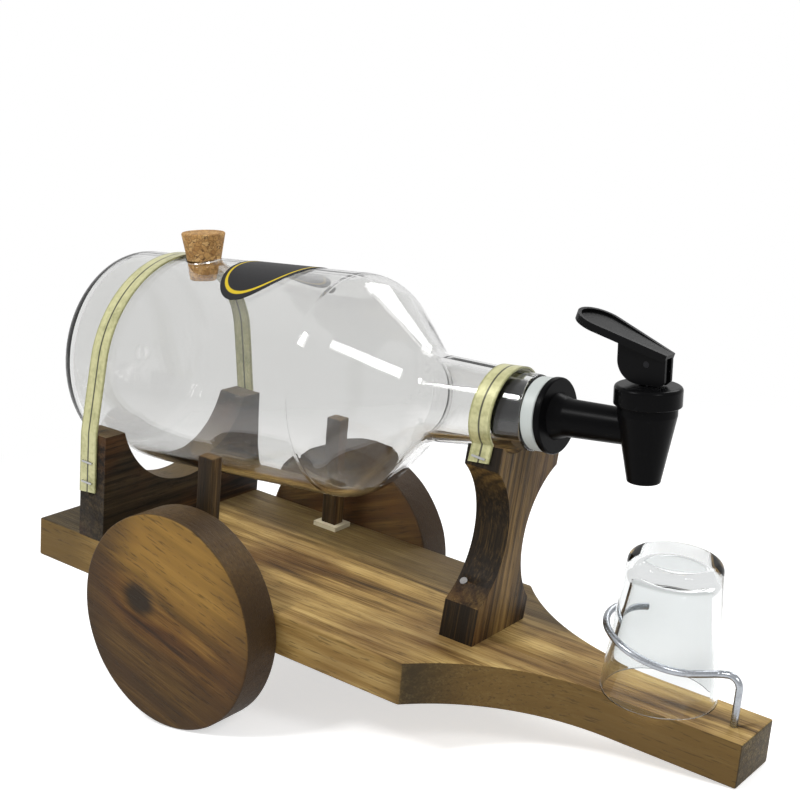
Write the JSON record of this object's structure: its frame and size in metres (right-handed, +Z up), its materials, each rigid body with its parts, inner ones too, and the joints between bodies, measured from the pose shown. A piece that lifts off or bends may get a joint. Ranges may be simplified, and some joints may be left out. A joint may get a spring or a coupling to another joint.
{
  "type": "drink dispenser",
  "caption": "Clear glass bottle lying on a scorched wooden two-wheeled cart, with a lever tap in its neck and an upturned shot glass held on the tongue by a wire.",
  "frame": {"origin": "centre of the bounding box's lower face: the floor the cart stands on, midway along and across it", "axes": "+X forward from the rear of the deck to the tip of the tongue, +Y to the far side, +Z up; the deck slopes 10.5 degrees down to the front"},
  "size_m": [0.3506, 0.15, 0.2169],
  "materials": {
    "deck_wood": "scorched and oiled pine, pale grain between dark bands",
    "saddle_wood": "deeply scorched, pale grain on the top edges",
    "post_wood": "deeply scorched, striped grain",
    "stake_wood": "rough hewn, lightly scorched",
    "wheel_wood": "scorched and oiled, growth rings on the faces",
    "glue": "dried wood glue",
    "axle_steel": "bare rod",
    "screw_steel": "zinc plated",
    "nail_steel": "bare",
    "staple_steel": "galvanised",
    "wire_steel": "galvanised",
    "strap_metal": "pale yellow lacquer, two ridges",
    "bottle_glass": "clear",
    "shot_glass": "clear",
    "cork": "pressed cork",
    "label_paper": "black paper with a thin yellow border",
    "bung_rubber": "matte",
    "washer_silicone": "translucent white",
    "tap_plastic": "black, satin moulding",
    "pin_steel": "bright",
    "stem_steel": "stainless",
    "cup_silicone": "translucent"
  },
  "bodies": {
    "cart": {"deck": "deck_wood", "rear_saddle": "saddle_wood", "front_post": "post_wood", "saddle_screws": "screw_steel", "post_screws": "screw_steel", "post_nails": "nail_steel", "side_stake_near": "stake_wood", "side_stake_far": "stake_wood", "stake_glue": "glue", "bottle": "bottle_glass", "label": "label_paper", "neck_bung": "bung_rubber", "tap_washer": "washer_silicone", "tap_body": "tap_plastic", "tap_collar": "tap_plastic", "stem_seal": "cup_silicone", "glass_holder": "wire_steel", "rear_strap": "strap_metal", "front_strap": "strap_metal", "rear_strap_staples": "staple_steel", "front_strap_staples": "staple_steel"},
    "wheelset": {"wheel_near": "wheel_wood", "wheel_far": "wheel_wood", "wheel_axle": "axle_steel"},
    "cork": {"cork": "cork"},
    "shot_glass": {"shot_glass": "shot_glass"},
    "valve": {"valve_stem": "stem_steel", "valve_cup": "cup_silicone"},
    "lever": {"tap_lever": "tap_plastic", "lever_pin": "pin_steel"}
  },
  "joints": [
    {"name": "wheel_spin", "type": "hinge", "parent": "cart", "child": "wheelset", "pos_m": [-0.07249, 0, 0.0499], "axis": [0, 1, 0], "continuous": true},
    {"name": "cork_pull", "type": "slide", "parent": "cart", "child": "cork", "axis": [0.0742, 0, 0.9972], "range_m": [0, 0.03]},
    {"name": "glass_slide", "type": "slide", "parent": "cart", "child": "shot_glass", "axis": [0.4916, 0.866, -0.0912], "range_m": [0, 0.06]},
    {"name": "valve_lift", "type": "slide", "parent": "cart", "child": "valve", "axis": [0.1047, 0, 0.9945], "range_m": [0, 0.003]},
    {"name": "lever_press", "type": "hinge", "parent": "valve", "child": "lever", "pos_m": [0.13406, 0, 0.16279], "axis": [0, -1, 0], "range_deg": [0, 25], "stiffness_Nm_per_rad": 0.08, "springref_deg": -11.46}
  ],
  "couplings": [
    {"joint": "lever_press", "follows": "valve_lift", "rad_per_m": 145.4}
  ]
}
